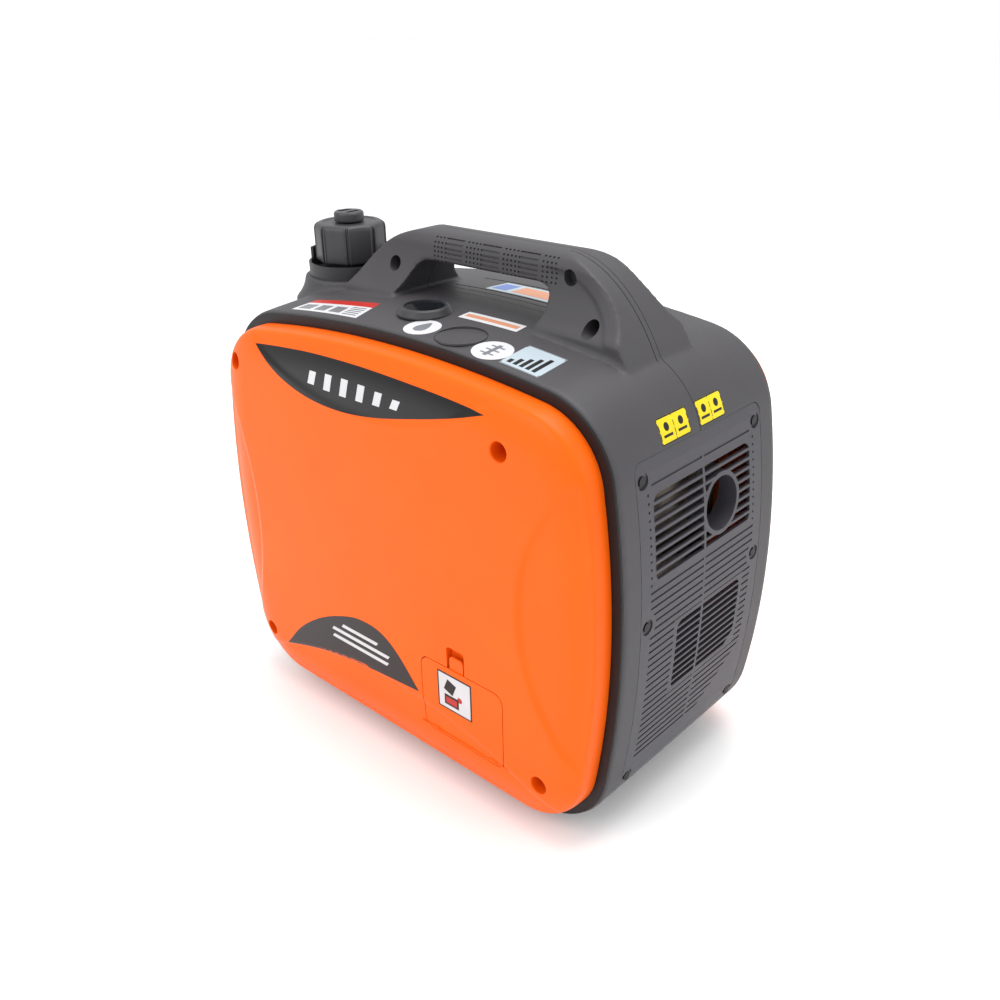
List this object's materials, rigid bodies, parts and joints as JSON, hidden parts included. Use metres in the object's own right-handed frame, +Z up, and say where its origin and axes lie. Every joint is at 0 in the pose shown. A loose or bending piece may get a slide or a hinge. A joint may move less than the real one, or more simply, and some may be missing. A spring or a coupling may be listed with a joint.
{
  "type": "portable generator",
  "caption": "Suitcase-style inverter generator with a moulded two-half body, carrying handle, screw-on side covers, fuel cap, exhaust grille and control panel.",
  "frame": {"origin": "on the ground under the middle of the body", "axes": "+X along the length towards the exhaust end, -Y out of the side cover with the oil door, +Z up"},
  "size_m": [0.5, 0.29, 0.494],
  "materials": {
    "shell_plastic": "fine moulded texture",
    "cover_plastic": "satin moulded ABS",
    "grille_plastic": "fine moulded texture",
    "panel_plastic": "fine moulded texture",
    "trim_plastic": "moulded",
    "cap_plastic": "moulded, ribbed",
    "socket_plastic": "moulded",
    "knob_plastic": "moulded",
    "button_plastic": "moulded",
    "rocker_plastic": "moulded",
    "tank_plastic": "blow moulded",
    "rubber": "moulded",
    "black_screw": "black zinc",
    "cast_aluminium": "as cast",
    "machined_steel": "machined",
    "sheet_steel": "heat-stained sheet",
    "shield_sheet": "rolled sheet",
    "copper_winding": "enamelled wire",
    "terminal_brass": "turned",
    "plug_ceramic": "glazed",
    "pulley_plastic": "moulded nylon",
    "lens": "clear, smoked",
    "pointer_red": "moulded",
    "float_foam": "closed-cell foam"
  },
  "bodies": {
    "housing": {"body_shell_front": "shell_plastic", "body_shell_rear": "shell_plastic", "side_cover_front": "cover_plastic", "side_cover_rear": "cover_plastic", "cover_seals": "rubber", "exhaust_grille": "grille_plastic", "control_panel": "panel_plastic", "rubber_feet": "rubber", "base_tray": "sheet_steel", "handle_screws": "black_screw", "cover_screws": "black_screw", "grille_screws": "black_screw", "panel_screws": "black_screw", "fuel_tank": "tank_plastic", "drip_tray": "trim_plastic", "gauge_ring": "trim_plastic", "gauge_lens": "lens", "engine_mounts": "rubber", "crankcase": "cast_aluminium", "cylinder": "cast_aluminium", "piston": "cast_aluminium", "cylinder_head": "cast_aluminium", "spark_plug": "plug_ceramic", "plug_boot": "rubber", "ignition_coil": "trim_plastic", "ignition_lead": "rubber", "carburettor": "cast_aluminium", "air_cleaner": "trim_plastic", "fuel_cock": "machined_steel", "fuel_hose": "rubber", "muffler": "sheet_steel", "spark_arrester": "machined_steel", "heat_shield": "shield_sheet", "stator": "copper_winding", "fan_shroud": "trim_plastic", "recoil_housing": "trim_plastic", "grip_bezel": "trim_plastic", "inverter_module": "shield_sheet", "ac_sockets": "socket_plastic", "low_voltage_ports": "socket_plastic", "ground_terminal": "terminal_brass"},
    "cap_seal": {"cap_seal": "rubber"},
    "fuel_cap": {"fuel_cap": "cap_plastic"},
    "vent_knob": {"vent_knob": "cap_plastic"},
    "gauge_float": {"gauge_float": "float_foam"},
    "gauge_pointer": {"gauge_pointer": "pointer_red"},
    "plug_access_cover": {"plug_access_cover": "shell_plastic"},
    "oil_door": {"oil_door": "cover_plastic"},
    "oil_dipstick": {"oil_dipstick": "trim_plastic"},
    "rotor": {"crankshaft": "machined_steel", "flywheel_fan": "cast_aluminium"},
    "recoil_pulley": {"recoil_pulley": "pulley_plastic", "rope_winding": "rubber"},
    "starter_grip": {"starter_grip": "trim_plastic", "starter_rope": "rubber"},
    "socket_lid_front": {"socket_lid_front": "socket_plastic"},
    "socket_lid_rear": {"socket_lid_rear": "socket_plastic"},
    "engine_switch": {"engine_switch": "knob_plastic"},
    "eco_switch": {"eco_switch": "rocker_plastic"},
    "breaker_button": {"breaker_button": "button_plastic"}
  },
  "joints": [
    {"name": "cap_lift", "type": "slide", "parent": "housing", "child": "cap_seal", "axis": [0, 0, 1], "range_m": [0, 0.0061]},
    {"name": "cap_turn", "type": "hinge", "parent": "cap_seal", "child": "fuel_cap", "pos_m": [-0.186, 0, 0.484], "axis": [0, 0, 1], "range_deg": [0, 540]},
    {"name": "vent_turn", "type": "hinge", "parent": "fuel_cap", "child": "vent_knob", "pos_m": [-0.186, 0, 0.484], "axis": [0, 0, 1], "range_deg": [0, 90]},
    {"name": "float_lift", "type": "slide", "parent": "housing", "child": "gauge_float", "axis": [0, 0, 1], "range_m": [0, 0.035]},
    {"name": "pointer_turn", "type": "hinge", "parent": "housing", "child": "gauge_pointer", "pos_m": [-0.012, -0.065, 0.42], "axis": [0, 0, 1], "range_deg": [0, 181]},
    {"name": "access_cover_pull", "type": "slide", "parent": "housing", "child": "plug_access_cover", "axis": [0, 0, 1], "range_m": [0, 0.03]},
    {"name": "oil_door_hinge", "type": "hinge", "parent": "housing", "child": "oil_door", "pos_m": [0.0945, -0.1424, 0.0594], "axis": [1, 0, 0], "range_deg": [0, 75]},
    {"name": "dipstick_turn", "type": "hinge", "parent": "housing", "child": "oil_dipstick", "pos_m": [0.078, -0.058, 0.097], "axis": [0, -0.866, 0.5], "range_deg": [0, 720]},
    {"name": "crank_spin", "type": "hinge", "parent": "housing", "child": "rotor", "pos_m": [0, 0, 0.174], "axis": [1, 0, 0], "continuous": true},
    {"name": "rope_pull", "type": "slide", "parent": "housing", "child": "starter_grip", "axis": [0, 1, 0], "range_m": [0, 0.45], "stiffness_N_per_m": 25, "springref_m": -0.2},
    {"name": "pulley_turn", "type": "hinge", "parent": "housing", "child": "recoil_pulley", "pos_m": [-0.136, 0, 0.174], "axis": [1, 0, 0], "range_deg": [-610, 0]},
    {"name": "lid_front_hinge", "type": "hinge", "parent": "housing", "child": "socket_lid_front", "pos_m": [-0.237, -0.042, 0.2285], "axis": [0, 1, 0], "range_deg": [0, 110], "stiffness_Nm_per_rad": 0.006, "springref_deg": -34.38},
    {"name": "lid_rear_hinge", "type": "hinge", "parent": "housing", "child": "socket_lid_rear", "pos_m": [-0.237, 0.042, 0.2285], "axis": [0, 1, 0], "range_deg": [0, 110], "stiffness_Nm_per_rad": 0.006, "springref_deg": -34.38},
    {"name": "engine_switch_turn", "type": "hinge", "parent": "housing", "child": "engine_switch", "pos_m": [-0.232, -0.044, 0.301], "axis": [1, 0, 0], "range_deg": [0, 90]},
    {"name": "eco_rock", "type": "hinge", "parent": "housing", "child": "eco_switch", "pos_m": [-0.2305, 0.034, 0.277], "axis": [0, 1, 0], "range_deg": [0, 14]},
    {"name": "breaker_push", "type": "slide", "parent": "housing", "child": "breaker_button", "axis": [1, 0, 0], "range_m": [0, 0.003], "stiffness_N_per_m": 250, "springref_m": -0.001}
  ],
  "couplings": [
    {"joint": "cap_lift", "follows": "cap_turn", "m_per_rad": 0.00063662},
    {"joint": "pointer_turn", "follows": "float_lift", "rad_per_m": 89.76},
    {"joint": "pulley_turn", "follows": "rope_pull", "rad_per_m": -23.474}
  ]
}
